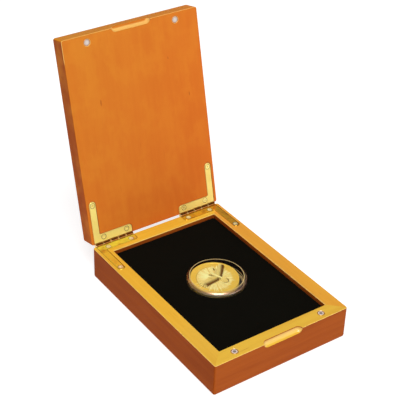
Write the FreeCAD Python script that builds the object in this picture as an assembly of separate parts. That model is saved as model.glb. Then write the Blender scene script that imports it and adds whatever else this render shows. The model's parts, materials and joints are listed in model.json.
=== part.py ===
"""Hinged wooden presentation case, holding one coin in a clear round capsule.

The lid is modelled shut, then swung open about the hinge pins, where it stands against its stops.
Origin: middle of the underside of the base. +X right, +Y towards the hinges, +Z up. Millimetres.
"""

import FreeCAD
import Part

import math
import os

Vector = FreeCAD.Vector
X_AXIS = Vector(1, 0, 0)
Y_AXIS = Vector(0, 1, 0)
Z_AXIS = Vector(0, 0, 1)

# ---- driving dimensions -------------------------------------------------------------------
case_width = 87.0
case_depth = 120.0
base_height = 20.0
lid_thickness = 10.5
joint_gap = 0.1  # between the shut lid and the rim
open_angle = 103.0  # from shut to the stop, degrees

# wooden shell
rail_width = 8.6
outer_round = 1.5  # bottom edges of the base, top edges of the lid
corner_round = 1.2  # upright corners
arris = 0.35  # eased edges round the rim and the lid's inner face
panel_thickness = 3.0
panel_rebate = 4.0
panel_joint = 0.12

# finger notch, a cove run along the front edge
notch_length = 25.2
notch_radius = 2.9
notch_outset = 0.25  # how far the cove's axis stands in front of the edge

# disc magnets
magnet_radius = 2.0
magnet_length = 3.0
magnet_chamfer = 0.25
magnet_sink = 0.12
magnet_x = 28.4
magnet_from_front = 4.25
magnet_hole_clearance = 0.06
magnet_hole_chamfer = 0.2

# hinges, one at each rear corner, measured from the side and from the rear of the case
pin_behind = 0.7  # hinge line behind the rear face
pin_radius = 0.6
base_bore_clearance = 0.03
lid_bore_clearance = 0.05
barrel_radius = 1.2
leaf_thickness = 1.0
leaf_side = 2.0
arm_width = 3.9
rear_arm_inner = 5.3
rear_arm_end = 27.0
side_arm_end = 26.0
arm_end_round = 1.9
inner_corner_round = 0.6
leaf_arris = 0.12  # eased edges of the leaf's face
knuckle_arris = 0.15  # eased ends of each knuckle
knuckles = 5
knuckle_gap = 0.1
mortise_clearance = 0.25
barrel_relief = 0.25
heel_radius = 2.1
heel_span = 55.0  # degrees
heel_play = 1.5  # degrees left between the stop heel and the base leaf
leaf_edge = 1.45  # the leaf's rear edge stands this far before the hinge line
screw_places = ((8.3, 3.3), (23.5, 3.3), (3.95, 23.6))

# countersunk screws
screw_head_radius = 1.35
screw_shank_radius = 0.7
screw_thread_depth = 0.2
screw_thread_pitch = 0.7
screw_length = 6.5
screw_tip = 1.4
screw_flat = 0.15  # cylindrical edge of the head
sink_clearance = 0.05  # round a screw head in its countersink
head_sink = 0.02  # head below the leaf's face
screw_hole_spare = 0.3
cross_width = 0.45
cross_length = 1.6
cross_depth = 0.65

# lining
insert_drop = 2.1  # velvet below the rim
insert_clearance = 0.15
velvet_thickness = 0.5
card_thickness = 1.5
pocket_floor = 13.25
pocket_radius = 17.2

# capsule and coin
capsule_x = 1.2
capsule_y = 1.25
capsule_bottom = 13.3
capsule_floor = 1.2
capsule_wall_inner = 15.9
capsule_wall_outer = 16.6
flange_radius = 17.05
flange_low = 17.0
flange_high = 17.6
shell_gap = 0.05
spigot_inner = 15.15
spigot_low = 16.1
shoulder_low = 18.05
top_ring_radius = 15.4
top_ring_inner = 14.95
top_ring_z = 19.8
window_z = 19.5
window_under = 18.65
coin_radius = 13.8
coin_thickness = 3.6
coin_floor_gap = 0.05
coin_shift_x = -1.05  # the coin lies against one side of its well
coin_shift_y = 0.76
coin_rim_width = 0.9
coin_field_depth = 0.55
reeds = 120
reed_depth = 0.12

half_width = case_width / 2
half_depth = case_depth / 2
pin_y = half_depth + pin_behind
pin_z = base_height + joint_gap / 2
lid_face = base_height + joint_gap
lid_top = lid_face + lid_thickness
insert_top = base_height - insert_drop


def box_between(x0, x1, y0, y1, z0, z1):
    return Part.makeBox(x1 - x0, y1 - y0, z1 - z0, Vector(x0, y0, z0))


def prism(points, z0, z1):
    """A straight prism over a closed polygon of (x, y) points."""
    wire = Part.makePolygon([Vector(x, y, z0) for x, y in points + points[:1]])
    return Part.Face(wire).extrude(Vector(0, 0, z1 - z0))


def revolved(profile, centre_x, centre_y):
    """A solid turned about an upright axis from a closed (radius, z) polygon or list of edges."""
    if isinstance(profile[0], tuple):
        profile = [Vector(r, 0, z) for r, z in profile]
        wire = Part.makePolygon(profile + profile[:1])
    else:
        wire = Part.Wire(profile)
    solid = Part.Face(wire).revolve(Vector(0, 0, 0), Z_AXIS, 360)
    solid.translate(Vector(centre_x, centre_y, 0))
    return solid


def near(value, target):
    return abs(value - target) < 1e-4


def upright(edge):
    a, b = (v.Point for v in edge.Vertexes)
    return near(a.x, b.x) and near(a.y, b.y)


def rounded_slab(z_sharp, z_round):
    """The case's outline from z_sharp to z_round, its corners round, its far edges rounded."""
    slab = box_between(
        -half_width, half_width, -half_depth, half_depth, min(z_sharp, z_round), max(z_sharp, z_round)
    )
    slab = slab.makeFillet(corner_round, [e for e in slab.Edges if upright(e)])
    far = [e for e in slab.Edges if all(near(v.Point.z, z_round) for v in e.Vertexes)]
    slab = slab.makeFillet(outer_round, far)
    mouth = [e for e in slab.Edges if all(near(v.Point.z, z_sharp) for v in e.Vertexes)]
    return slab.makeFillet(arris, mouth)


def finger_notch():
    """A cove with ball ends, its axis level with the joint between base and lid."""
    reach = notch_length / 2 - notch_radius
    y = -half_depth - notch_outset
    z = base_height + joint_gap / 2
    cove = Part.makeCylinder(notch_radius, 2 * reach, Vector(-reach, y, z), X_AXIS)
    for x in (-reach, reach):
        cove = cove.fuse(Part.makeSphere(notch_radius, Vector(x, y, z)))
    return cove


def magnet(x, face, up):
    """A disc magnet sunk below a face, and the hole it sits in. up is the way out, +1 or -1."""
    y = -half_depth + magnet_from_front
    out = Vector(0, 0, up)
    top = face - up * magnet_sink
    disc = Part.makeCylinder(
        magnet_radius, magnet_length, Vector(x, y, top - up * magnet_length), out
    )
    rim = [e for e in disc.Edges if e.Curve.TypeId == "Part::GeomCircle"]
    disc = disc.makeChamfer(magnet_chamfer, rim)
    hole_radius = magnet_radius + magnet_hole_clearance
    hole_depth = magnet_length + magnet_sink
    hole = Part.makeCylinder(hole_radius, hole_depth + 1, Vector(x, y, face - up * hole_depth), out)
    mouth = Part.makeCone(
        hole_radius,
        hole_radius + magnet_hole_chamfer + 1,
        magnet_hole_chamfer + 1,
        Vector(x, y, face - up * magnet_hole_chamfer),
        out,
    )
    return disc, hole.fuse(mouth)


# ---- hinge, drawn at the left rear corner --------------------------------------------------
def leaf_prism(grow, z0, z1):
    """The L of a hinge leaf between two heights, out to the hinge line, grown all round."""
    left = leaf_side - grow
    right = leaf_side + arm_width + grow
    inner = rear_arm_inner + grow
    end = rear_arm_end + grow
    far = side_arm_end + grow
    outer = -pin_behind
    corners = [(left, outer), (end, outer), (end, inner), (right, inner), (right, far), (left, far)]
    plate = prism([(-half_width + side, half_depth - rear) for side, rear in corners], z0, z1)

    def corner(side, rear):
        x, y = -half_width + side, half_depth - rear
        return [e for e in plate.Edges if upright(e) and near(e.Vertexes[0].X, x) and near(e.Vertexes[0].Y, y)]

    plate = plate.makeFillet(arm_end_round + grow * 0.9, corner(right, far) + corner(left, far))
    plate = plate.makeFillet(arm_end_round, corner(end, inner))
    return plate.makeFillet(inner_corner_round, corner(right, inner))


def along_pin(radius, x0, x1):
    return Part.makeCylinder(radius, x1 - x0, Vector(x0, pin_y, pin_z), X_AXIS)


def knuckle_spans(owned):
    """The x ranges of the knuckles whose number is in owned, counted from the outer end."""
    start = -half_width + leaf_side
    pitch = (rear_arm_end - leaf_side + knuckle_gap) / knuckles
    return [(start + pitch * n, start + pitch * (n + 1) - knuckle_gap) for n in owned]


base_knuckles = range(0, knuckles, 2)
lid_knuckles = range(1, knuckles, 2)


def stop_heel(x0, x1):
    """The lug on a lid knuckle that meets the base leaf when the lid is fully open."""
    leaf_corner = math.atan2(leaf_thickness + joint_gap / 2, leaf_edge)
    lead = -math.degrees(leaf_corner) - heel_play - open_angle
    corners = [(barrel_radius * 0.8, lead), (heel_radius, lead)]
    corners += [(heel_radius, lead - heel_span), (barrel_radius * 0.8, lead - heel_span)]
    points = []
    for radius, angle in corners:
        turn = math.radians(angle)
        y = pin_y - radius * math.cos(turn)
        z = pin_z + radius * math.sin(turn)
        points.append(Vector(x0, y, z))
    lug = Part.Face(Part.makePolygon(points + points[:1])).extrude(Vector(x1 - x0, 0, 0))
    return lug.common(along_pin(heel_radius, x0, x1))


def countersunk_hole(side, rear, face, up):
    """Clearance for a screw through a leaf, with the head's cone."""
    x, y = -half_width + side, half_depth - rear
    out = Vector(0, 0, up)
    wide = screw_head_radius + sink_clearance
    narrow = screw_shank_radius + sink_clearance
    lip_bottom = head_sink + screw_flat + sink_clearance / 2
    lip = Part.makeCylinder(wide, lip_bottom + 1, Vector(x, y, face - up * lip_bottom), out)
    cone_bottom = Vector(x, y, face - up * (lip_bottom + wide - narrow))
    cone = Part.makeCone(narrow, wide, wide - narrow, cone_bottom, out)
    shank = Part.makeCylinder(narrow, leaf_thickness + 1, Vector(x, y, face), -out)
    return cone.fuse([lip, shank])


def hinge_leaf(face, into, owned, bore_radius):
    """A leaf let in flush at a face. into is -1 for the base, +1 for the lid."""
    low, high = sorted((face, face + into * leaf_thickness))
    leaf = leaf_prism(0, low, high)
    leaf = leaf.makeChamfer(leaf_arris, [e for e in leaf.Edges if near(e.CenterOfMass.z, face)])
    barrel_x = (-half_width + leaf_side - 1, -half_width + rear_arm_end + 1)
    leaf = leaf.cut(box_between(*barrel_x, pin_y - leaf_edge, pin_y + 5, low - 1, high + 1))
    for x0, x1 in knuckle_spans(owned):
        web = box_between(x0, x1, pin_y - leaf_edge - 1, pin_y, low, high)
        barrel = along_pin(barrel_radius, x0, x1)
        ends = [e for e in barrel.Edges if e.Curve.TypeId == "Part::GeomCircle"]
        leaf = leaf.fuse([barrel.makeChamfer(knuckle_arris, ends), web])
        if into > 0:
            leaf = leaf.fuse(stop_heel(x0, x1))
    leaf = leaf.removeSplitter()
    leaf = leaf.cut(along_pin(bore_radius, *barrel_x))
    for side, rear in screw_places:
        leaf = leaf.cut(countersunk_hole(side, rear, face, -into))
    return leaf


def screw(side, rear, face, up):
    """A countersunk cross-head screw, its thread drawn as rings."""
    cone = screw_head_radius - screw_shank_radius
    core = screw_shank_radius - screw_thread_depth
    profile = [(0, 0), (screw_head_radius, 0), (screw_head_radius, -screw_flat)]
    profile += [(screw_shank_radius, -screw_flat - cone)]
    z = -screw_flat - cone - 0.4
    profile.append((screw_shank_radius, z))
    while z > -(screw_length - screw_tip):
        profile += [(core, z - screw_thread_pitch / 2), (screw_shank_radius, z - screw_thread_pitch)]
        z -= screw_thread_pitch
    profile.append((0, -screw_length))
    body = revolved(profile, 0, 0)
    wide, narrow = cross_length / 2, cross_length / 5
    wing = [(-wide, 1), (wide, 1), (wide, 0), (narrow, -cross_depth), (-narrow, -cross_depth), (-wide, 0)]
    wing = [Vector(x, -cross_width / 2, z) for x, z in wing]
    slot = Part.Face(Part.makePolygon(wing + wing[:1])).extrude(Vector(0, cross_width, 0))
    for turn in (0, 90):
        blade = slot.copy()
        blade.rotate(Vector(0, 0, 0), Z_AXIS, turn + 20 * rear + 35 * up)
        body = body.cut(blade)
    if up < 0:
        body.rotate(Vector(0, 0, 0), X_AXIS, 180)
    body.translate(Vector(-half_width + side, half_depth - rear, face - up * head_sink))
    return body


def hinge_pin():
    """The pin, with a domed end standing just out of each outer knuckle."""
    x0, x1 = -half_width + leaf_side, -half_width + rear_arm_end
    pin = along_pin(pin_radius, x0 - 0.1, x1 + 0.1)
    return pin.makeFillet(0.25, [e for e in pin.Edges if e.Curve.TypeId == "Part::GeomCircle"])


def hinge_recess(face, into):
    """What a hinge takes out of the wood: the leaf's mortise, the barrel's cove and screw holes."""
    low, high = sorted((face - into, face + into * leaf_thickness))
    recess = leaf_prism(mortise_clearance, low, high)
    x0, x1 = -half_width + leaf_side - mortise_clearance, -half_width + rear_arm_end + mortise_clearance
    recess = recess.fuse(along_pin(barrel_radius + barrel_relief, x0, x1))
    for k0, k1 in knuckle_spans(lid_knuckles):
        if into < 0:
            recess = recess.fuse(along_pin(heel_radius + barrel_relief, k0 - 0.1, k1 + 0.1))
    for side, rear in screw_places:
        x, y = -half_width + side, half_depth - rear
        start = Vector(x, y, face + into * leaf_thickness)
        depth = screw_length - leaf_thickness + screw_hole_spare
        hole = Part.makeCylinder(screw_shank_radius + 0.02, depth, start, Vector(0, 0, into))
        recess = recess.fuse(hole)
    return recess


def mirrored(shape):
    return shape.mirror(Vector(0, 0, 0), X_AXIS)


# ---- wooden parts --------------------------------------------------------------------------
def base_rails():
    """Four mitred rails with a rebate for the bottom panel."""
    ring = rounded_slab(base_height, 0)
    inner_x, inner_y = half_width - rail_width, half_depth - rail_width
    opening = box_between(-inner_x, inner_x, -inner_y, inner_y, -1, base_height + 1)
    ring = ring.cut(opening)
    mouth = [
        e for e in ring.Edges
        if all(near(v.Point.z, base_height) and abs(v.Point.x) < inner_x + 0.01
               and abs(v.Point.y) < inner_y + 0.01 for v in e.Vertexes)
    ]
    ring = ring.makeChamfer(arris, mouth)
    px, py = inner_x + panel_rebate, inner_y + panel_rebate
    ring = ring.cut(box_between(-px, px, -py, py, -1, panel_thickness))
    ring = ring.cut(finger_notch())
    for x in (-magnet_x, magnet_x):
        ring = ring.cut(magnet(x, base_height, 1)[1])
    recess = hinge_recess(base_height, -1)
    ring = ring.cut(recess).cut(mirrored(recess))
    big, z0, z1 = 5.0, -1, base_height + 1
    hw, hd, ix, iy = half_width + big, half_depth + big, inner_x - big, inner_y - big
    front = prism([(-hw, -hd), (hw, -hd), (ix, -iy), (-ix, -iy)], z0, z1)
    right = prism([(hw, -hd), (hw, hd), (ix, iy), (ix, -iy)], z0, z1)
    rails = {"base_front_rail": front, "base_right_rail": right}
    rails["base_rear_rail"] = front.mirror(Vector(0, 0, 0), Y_AXIS)
    rails["base_left_rail"] = mirrored(right)
    return {name: ring.common(wedge) for name, wedge in rails.items()}


def bottom_panel():
    px = half_width - rail_width + panel_rebate - panel_joint
    py = half_depth - rail_width + panel_rebate - panel_joint
    panel = box_between(-px, px, -py, py, 0, panel_thickness)
    return panel.makeChamfer(0.25, [e for e in panel.Edges if near(e.CenterOfMass.z, 0)])


def lid_panel():
    lid = rounded_slab(lid_face, lid_top)
    lid = lid.cut(finger_notch())
    for x in (-magnet_x, magnet_x):
        lid = lid.cut(magnet(x, lid_face, -1)[1])
    recess = hinge_recess(lid_face, 1)
    return lid.cut(recess).cut(mirrored(recess))


# ---- lining --------------------------------------------------------------------------------
def lining():
    """Card, two foam sheets and the velvet that covers them and lines the round pocket."""
    hx = half_width - rail_width - insert_clearance
    hy = half_depth - rail_width - insert_clearance
    foam_x, foam_y = hx - velvet_thickness, hy - velvet_thickness
    card_top = panel_thickness + card_thickness
    foam_split = pocket_floor - velvet_thickness
    card = box_between(-foam_x, foam_x, -foam_y, foam_y, panel_thickness, card_top)
    lower = box_between(-foam_x, foam_x, -foam_y, foam_y, card_top, foam_split)
    upper = box_between(-foam_x, foam_x, -foam_y, foam_y, foam_split, insert_top - velvet_thickness)
    centre = Vector(capsule_x, capsule_y, foam_split)
    well = Part.makeCylinder(pocket_radius + velvet_thickness, base_height, centre)
    upper = upper.cut(well)
    velvet = box_between(-hx, hx, -hy, hy, card_top, insert_top)
    velvet = velvet.makeFillet(velvet_thickness, [e for e in velvet.Edges if near(e.CenterOfMass.z, insert_top)])
    velvet = velvet.cut(lower).cut(upper)
    pocket = Part.makeCylinder(pocket_radius, base_height, Vector(capsule_x, capsule_y, pocket_floor))
    velvet = velvet.cut(pocket)
    return {
        "insert_card": card,
        "insert_foam_lower": lower,
        "insert_foam_upper": upper,
        "insert_velvet": velvet,
    }


# ---- capsule and coin ----------------------------------------------------------------------
def capsule_base():
    floor = capsule_bottom + capsule_floor
    profile = [(0, capsule_bottom), (capsule_wall_outer - 0.6, capsule_bottom)]
    profile += [(capsule_wall_outer, capsule_bottom + 0.6), (capsule_wall_outer, flange_low)]
    profile += [(flange_radius - 0.15, flange_low), (flange_radius, flange_low + 0.15)]
    profile += [(flange_radius, flange_high), (capsule_wall_inner, flange_high)]
    profile += [(capsule_wall_inner, floor), (0, floor)]
    return revolved(profile, capsule_x, capsule_y)


def capsule_lid():
    """Window, raised ring, sloping shoulder and the spigot that plugs into the lower half."""
    low = flange_high + shell_gap
    shoulder = Part.Arc(
        Vector(flange_radius, 0, shoulder_low),
        Vector((flange_radius + top_ring_radius) / 2 + 0.28, 0, (shoulder_low + top_ring_z) / 2 + 0.24),
        Vector(top_ring_radius, 0, top_ring_z),
    ).toShape()
    points = [(top_ring_radius, top_ring_z), (top_ring_inner, top_ring_z)]
    points += [(top_ring_inner - 0.3, window_z), (0, window_z), (0, window_under)]
    points += [(spigot_inner - 0.5, window_under), (spigot_inner, window_under - 0.5)]
    points += [(spigot_inner, spigot_low), (capsule_wall_inner - shell_gap, spigot_low)]
    points += [(capsule_wall_inner - shell_gap, low), (flange_radius, low), (flange_radius, shoulder_low)]
    corners = [Vector(r, 0, z) for r, z in points]
    edges = [Part.makeLine(a, b) for a, b in zip(corners, corners[1:])]
    return revolved([shoulder] + edges, capsule_x, capsule_y)


def coin():
    """The blank with its raised rims and reeded edge."""
    low = capsule_bottom + capsule_floor + coin_floor_gap
    high = low + coin_thickness
    field = coin_radius - coin_rim_width
    ease = 0.2
    profile = [(0, low + coin_field_depth), (field - 0.2, low + coin_field_depth), (field, low)]
    profile += [(coin_radius - ease, low), (coin_radius, low + ease), (coin_radius, high - ease)]
    profile += [(coin_radius - ease, high), (field, high), (field - 0.2, high - coin_field_depth)]
    profile += [(0, high - coin_field_depth)]
    centre = Vector(capsule_x + coin_shift_x, capsule_y + coin_shift_y, 0)
    blank = revolved(profile, centre.x, centre.y)
    reed_width = math.pi * coin_radius / reeds
    grooves = []
    for n in range(reeds):
        angle = 360.0 * n / reeds
        groove = box_between(
            coin_radius - reed_depth, coin_radius + 1, -reed_width / 2, reed_width / 2, low - 1, high + 1
        )
        groove.rotate(Vector(0, 0, 0), Z_AXIS, angle)
        groove.translate(centre)
        grooves.append(groove)
    return blank.cut(Part.makeCompound(grooves))


# ---- assembly ------------------------------------------------------------------------------
def build():
    parts = base_rails()
    parts["bottom_panel"] = bottom_panel()
    parts.update(lining())
    shut = {"lid_panel": lid_panel()}
    for name, x in (("left", -magnet_x), ("right", magnet_x)):
        parts["base_magnet_" + name] = magnet(x, base_height, 1)[0]
        shut["lid_magnet_" + name] = magnet(x, lid_face, -1)[0]
    base_leaf = hinge_leaf(base_height, -1, base_knuckles, pin_radius + base_bore_clearance)
    lid_leaf = hinge_leaf(lid_face, 1, lid_knuckles, pin_radius + lid_bore_clearance)
    pin = hinge_pin()
    for name, handed in (("left", lambda s: s), ("right", mirrored)):
        parts[name + "_hinge_base_leaf"] = handed(base_leaf)
        parts[name + "_hinge_pin"] = handed(pin)
        shut[name + "_hinge_lid_leaf"] = handed(lid_leaf)
        for number, place in enumerate(screw_places, 1):
            parts[f"{name}_hinge_base_screw_{number}"] = handed(screw(*place, base_height, 1))
            shut[f"{name}_hinge_lid_screw_{number}"] = handed(screw(*place, lid_face, -1))
    for name, shape in shut.items():
        parts[name] = shape.copy()
        parts[name].rotate(Vector(0, pin_y, pin_z), X_AXIS, -open_angle)
    parts["capsule_base"] = capsule_base()
    parts["capsule_lid"] = capsule_lid()
    parts["coin"] = coin()
    return parts


os.makedirs("parts", exist_ok=True)
for name, shape in build().items():
    solids = shape.Solids
    sound = all(s.isValid() and s.Volume > 0 for s in solids)
    print(f"{name}: {len(solids)} solid, {shape.Volume:.1f} mm3, {'sound' if sound else 'FAULTY'}")
    (solids[0] if len(solids) == 1 else Part.makeCompound(solids)).exportStep(f"parts/{name}.step")
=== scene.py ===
import json
import math

import bpy
import numpy as np
from mathutils import Matrix, Vector


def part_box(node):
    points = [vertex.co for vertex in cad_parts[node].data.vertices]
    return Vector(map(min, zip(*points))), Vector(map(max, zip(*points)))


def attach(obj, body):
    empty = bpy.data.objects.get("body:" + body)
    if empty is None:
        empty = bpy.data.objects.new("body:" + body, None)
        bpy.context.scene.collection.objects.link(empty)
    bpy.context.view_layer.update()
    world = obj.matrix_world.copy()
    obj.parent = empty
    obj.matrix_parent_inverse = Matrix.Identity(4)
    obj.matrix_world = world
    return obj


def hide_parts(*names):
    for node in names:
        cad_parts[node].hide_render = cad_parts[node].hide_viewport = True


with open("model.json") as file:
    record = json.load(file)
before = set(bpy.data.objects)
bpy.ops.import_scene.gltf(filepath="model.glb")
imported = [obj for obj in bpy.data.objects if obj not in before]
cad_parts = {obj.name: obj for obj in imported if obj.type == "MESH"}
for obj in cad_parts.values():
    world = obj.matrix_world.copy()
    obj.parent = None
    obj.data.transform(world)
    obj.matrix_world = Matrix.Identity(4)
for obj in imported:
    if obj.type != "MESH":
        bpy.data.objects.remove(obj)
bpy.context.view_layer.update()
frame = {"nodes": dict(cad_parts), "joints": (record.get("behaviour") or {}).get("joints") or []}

mm = 0.001
xAxis, yAxis, zAxis = (1, 0, 0), (0, 1, 0), (0, 0, 1)
nodes = frame["nodes"]
scene = bpy.context.scene
print("frame loaded with", len(nodes), "nodes")

camera = {
    "azimuth": -35.76,
    "elevation": 33.27,
    "roll": 1.87,
    "target": (0.0080, 0.0290, 0.0518),
    "distance": 0.64,
    "lens": 103.46,
    "sensor": 36.0,
    "clipStart": 0.02,
}


def placeCamera(look):
    az, el, roll = (math.radians(look[key]) for key in ("azimuth", "elevation", "roll"))
    back = Vector((math.sin(az) * math.cos(el), -math.cos(az) * math.cos(el), math.sin(el)))
    right = Vector((0, 0, 1)).cross(back).normalized()
    up = back.cross(right)
    across = right * math.cos(roll) + up * math.sin(roll)
    above = up * math.cos(roll) - right * math.sin(roll)
    lens = bpy.data.cameras.new("camera")
    lens.lens = look["lens"]
    lens.sensor_width = look["sensor"]
    lens.clip_start = look["clipStart"]
    body = bpy.data.objects.new("camera", lens)
    turn = Matrix((across, above, back)).transposed().to_4x4()
    body.matrix_world = Matrix.Translation(Vector(look["target"]) + back * look["distance"]) @ turn
    scene.collection.objects.link(body)
    scene.camera = body


placeCamera(camera)
print("camera placed")


class Value:  # a socket that can take part in sums
    def __init__(self, tree, socket):
        self.tree = tree
        self.socket = socket

    def math(self, operation, *parts):
        return self.tree.node("Math", {"operation": operation}, dict(enumerate(parts)))

    def __add__(self, other):
        return self.math("ADD", self, other)

    def __radd__(self, other):
        return self.math("ADD", other, self)

    def __sub__(self, other):
        return self.math("SUBTRACT", self, other)

    def __rsub__(self, other):
        return self.math("SUBTRACT", other, self)

    def __mul__(self, other):
        return self.math("MULTIPLY", self, other)

    def __rmul__(self, other):
        return self.math("MULTIPLY", other, self)

    def __truediv__(self, other):
        return self.math("DIVIDE", self, other)

    def __rtruediv__(self, other):
        return self.math("DIVIDE", other, self)

    def __pow__(self, other):
        return self.math("POWER", self, other)

    def __rpow__(self, other):
        return self.math("POWER", other, self)

    def __abs__(self):
        return self.math("ABSOLUTE", self)


class Tree:  # the nodes of one material or of the world
    def __init__(self, owner):
        owner.use_nodes = True
        self.nodes = owner.node_tree.nodes
        self.links = owner.node_tree.links

    def node(self, kind, settings=None, inputs=None, out=0):
        made = self.nodes.new("ShaderNode" + kind)
        for name, value in (settings or {}).items():
            if name == "stops":
                self.fillRamp(made.color_ramp, value)
            else:
                setattr(made, name, value)
        for name, value in (inputs or {}).items():
            self.plug(made, name, value)
        live = [socket for socket in made.outputs if socket.enabled]
        return Value(self, live[out] if isinstance(out, int) else made.outputs[out])

    def plug(self, made, name, value):
        if isinstance(name, int):
            socket = made.inputs[name]
        else:
            socket = next(s for s in made.inputs if s.name == name and s.enabled)
        if isinstance(value, Value):
            self.links.new(value.socket, socket)
        elif socket.type == "RGBA" and len(value) == 3:
            socket.default_value = (*value, 1)
        else:
            socket.default_value = value

    def fillRamp(self, ramp, stops):
        while len(ramp.elements) < len(stops):
            ramp.elements.new(1)
        for element, (place, colour) in zip(ramp.elements, stops):
            element.position = place
            element.color = (*colour, 1)

    def mix(self, factor, first, second, blend="MIX"):
        settings = {"data_type": "RGBA", "blend_type": blend}
        return self.node("Mix", settings, {"Factor": factor, "A": first, "B": second})

    def blend(self, factor, first, second):
        return self.node("MixShader", {}, {0: factor, 1: first, 2: second})

    def step(self, value, low, high):
        inputs = {"Value": value, "From Min": low, "From Max": high}
        return self.node("MapRange", {"interpolation_type": "SMOOTHSTEP"}, inputs)

    def band(self, value, edges):
        low, lowFull, highFull, high = edges
        return self.step(value, low, lowFull) * (1 - self.step(value, highFull, high))

    def noise(self, vector, scale, detail, rough=0.5):
        inputs = {"Vector": vector, "Scale": scale, "Detail": detail, "Roughness": rough}
        return self.node("TexNoise", {}, inputs)

    def vector(self, x, y, z):
        return self.node("CombineXYZ", {}, {"X": x, "Y": y, "Z": z})

    def fromPoint(self, vector, point):
        return self.node("VectorMath", {"operation": "SUBTRACT"}, {0: vector, 1: point})

    def dot(self, vector, direction):
        inputs = {0: vector, 1: direction}
        return self.node("VectorMath", {"operation": "DOT_PRODUCT"}, inputs, "Value")

    def bump(self, height, distance, strength=1.0):
        inputs = {"Height": height, "Distance": distance, "Strength": strength}
        return self.node("Bump", {}, inputs)


class Finish(Tree):  # a material with one principled shader
    def __init__(self, name, plain):
        self.material = bpy.data.materials.new(name)
        super().__init__(self.material)
        self.shader = self.nodes["Principled BSDF"]
        self.set(plain)
        self.place = self.node("TexCoord", out="Object")

    def set(self, values):
        for name, value in values.items():
            self.plug(self.shader, name, value)


def wear(finish, *names):
    for name in names:
        piece = nodes[name]
        piece.data.materials.clear()
        piece.data.materials.append(finish.material)


def addPiece(name, mesh, body, slot, finish, *replaced):
    piece = bpy.data.objects.new(name, mesh)
    scene.collection.objects.link(piece)
    mesh.materials.append(finish.material)
    if replaced:
        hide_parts(*replaced)
    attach(piece, body)
    return piece


def ringMesh(name, rings, startPoint=None, endPoint=None, joined=False):
    count = len(rings[0])
    points = np.concatenate(rings)
    steps = np.arange(count)
    follow = (steps + 1) % count
    pairs = [(k, k + 1) for k in range(len(rings) - 1)]
    if joined:
        pairs.append((len(rings) - 1, 0))
    faces = []
    for low, high in pairs:
        corners = (low * count + steps, low * count + follow, high * count + follow, high * count + steps)
        faces += np.stack(corners, axis=1).tolist()
    for tip, ring, turned in ((startPoint, 0, True), (endPoint, len(rings) - 1, False)):
        if tip is not None:
            centre = len(points)
            points = np.vstack([points, tip])
            edge = [ring * count + steps, ring * count + follow]
            edge = edge[::-1] if turned else edge
            faces += np.stack([*edge, np.full(count, centre)], axis=1).tolist()
    mesh = bpy.data.meshes.new(name)
    mesh.from_pydata(points.tolist(), [], faces)
    mesh.validate()
    mesh.polygons.foreach_set("use_smooth", np.ones(len(mesh.polygons), bool))
    return mesh


# a Step or an Edge is where a change begins and where it is full, and a Band is both ends of one
woodLook = {
    "side": (0.37, 0.080, 0.0090),
    "sideDark": (0.29, 0.055, 0.0060),
    # the top faces get a paler, yellower colour: painted light falling from above
    "rim": (0.92, 0.56, 0.050),
    "rimDark": (0.84, 0.46, 0.036),
    "rimStep": (0.25, 0.85),
    # a paler colour for sloping faces such as the notch hollow: a painted highlight
    "cove": (0.95, 0.68, 0.20),
    "coveShare": 0.55,
    "coveBand": (0.10, 0.30, 0.80, 0.95),
    "coveEdge": None,
    "marks": (),
    "litInside": None,
    "warmShift": 0.0,
    "wander": (14, 20, 20),
    "wanderReach": 0.004,
    "broad": (11, 26, 26),
    "streakShare": 0.55,
    "toneStep": (0.32, 0.68),
    "grainLength": 0.055,
    "grainWidth": 0.0035,
    "poreLength": 0.009,
    "poreWidth": 0.00035,
    "poreStep": (0.60, 0.78),
    "poreShare": 0.14,
    "fleck": (0.30, 0.060, 0.012),
    "fleckScale": (70, 1500, 900),
    "fleckStep": (0.70, 0.78),
    "fleckField": (0.45, 0.60),
    "fleckShare": 0.35,
    "roughness": 0.42,
    "streakRoughness": 0.12,
    "poreRoughness": 0.1,
    "specular": 0.030,
    "coatSide": 0.008,
    "coatRim": 0.9,
    "coatRoughness": 0.17,
    "coatIOR": 1.75,
    "relief": 0.00004,
    "streakRelief": 0.6,
}


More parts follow.
